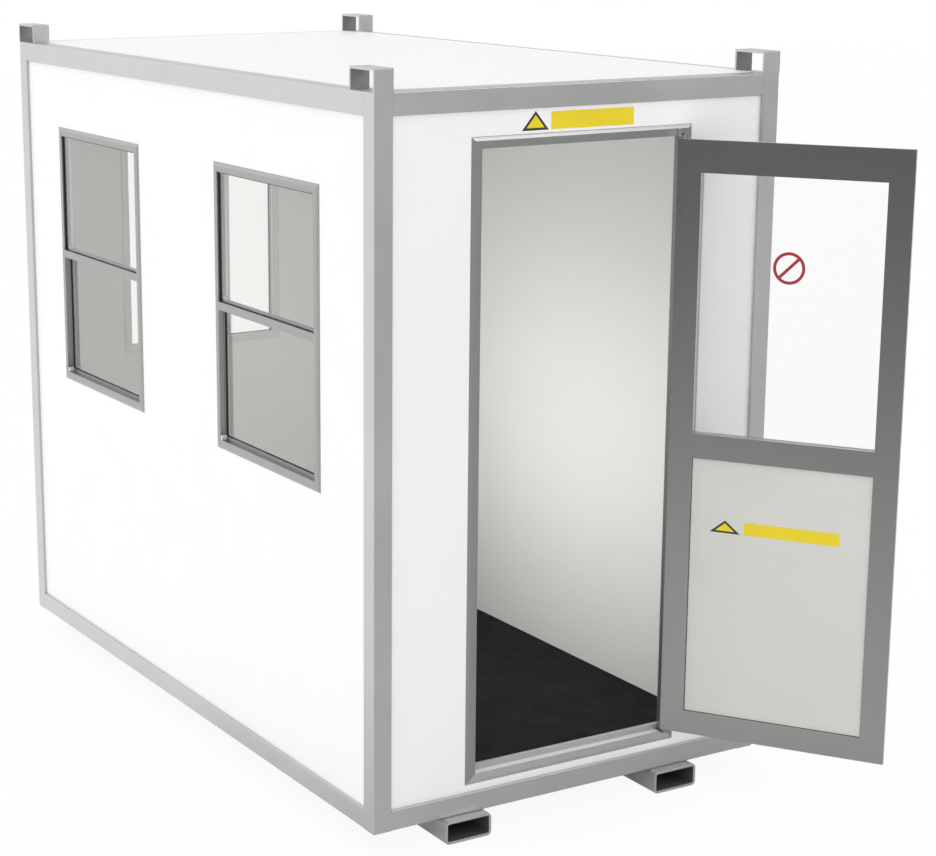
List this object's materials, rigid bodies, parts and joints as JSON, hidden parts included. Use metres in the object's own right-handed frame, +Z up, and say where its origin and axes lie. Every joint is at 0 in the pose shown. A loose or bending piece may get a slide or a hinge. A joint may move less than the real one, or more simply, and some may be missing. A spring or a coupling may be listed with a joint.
{
  "type": "portable site cabin",
  "caption": "Small flat-roofed steel-framed site cabin with a glazed outward-opening door, sliding side windows, lifting eyes and fork pockets.",
  "frame": {"origin": "on the ground, under the middle of the cabin in plan", "axes": "+Z up, -Y is the door end, -X is the side with two windows, +X is to the right seen from the door end"},
  "size_m": [1.6038, 3.537, 2.552],
  "materials": {
    "frame_grey": "satin grey paint on steel sections",
    "panel_white": "satin white coated sheet on sandwich panel",
    "door_frame_aluminium": "satin mill aluminium",
    "door_aluminium": "satin aluminium profile",
    "window_aluminium": "satin aluminium profile",
    "glass": "clear float glass",
    "door_infill": "matte warm grey infill sheet",
    "floor_vinyl": "matte black vinyl",
    "deck_board": "raw board",
    "gasket_rubber": "black glazing gasket",
    "sign_film": "coloured adhesive film, blank",
    "white_plastic": "white moulded clips",
    "pivot_steel": "zinc plated steel"
  },
  "bodies": {
    "cabin": {"base_rail_back": "frame_grey", "base_rail_front": "frame_grey", "base_rail_left": "frame_grey", "base_rail_right": "frame_grey", "door_frame_head": "door_frame_aluminium", "door_frame_jamb_left": "door_frame_aluminium", "door_frame_jamb_right": "door_frame_aluminium", "door_pivots": "pivot_steel", "door_threshold": "door_frame_aluminium", "floor_covering": "floor_vinyl", "floor_deck": "deck_board", "lift_tube_left": "frame_grey", "lift_tube_right": "frame_grey", "lifting_eye_back_left": "frame_grey", "lifting_eye_back_right": "frame_grey", "lifting_eye_front_left": "frame_grey", "lifting_eye_front_right": "frame_grey", "post_back_left": "frame_grey", "post_back_right": "frame_grey", "post_front_left": "frame_grey", "post_front_right": "frame_grey", "roof_panel": "panel_white", "roof_rail_back": "frame_grey", "roof_rail_front": "frame_grey", "roof_rail_left": "frame_grey", "roof_rail_right": "frame_grey", "wall_back": "panel_white", "wall_front_left": "panel_white", "wall_front_over": "panel_white", "wall_front_right": "panel_white", "wall_front_under": "panel_white", "wall_left": "panel_white", "wall_right": "panel_white", "window_back_frame": "window_aluminium", "window_back_glass": "glass", "window_front_frame": "window_aluminium", "window_front_glass": "glass", "window_front_lower_sash": "window_aluminium", "window_front_upper_sash": "window_aluminium", "window_rear_frame": "window_aluminium", "window_rear_glass": "glass", "window_rear_lower_sash": "window_aluminium", "window_rear_upper_sash": "window_aluminium"},
    "door": {"door_glass": "glass", "door_leaf": "door_aluminium", "door_lower_panel": "door_infill"}
  },
  "joints": [
    {"name": "door_swing", "type": "hinge", "parent": "cabin", "child": "door", "pos_m": [0.3825, -1.427, 1], "axis": [0, 0, 1], "range_deg": [-124.1, 36]}
  ]
}
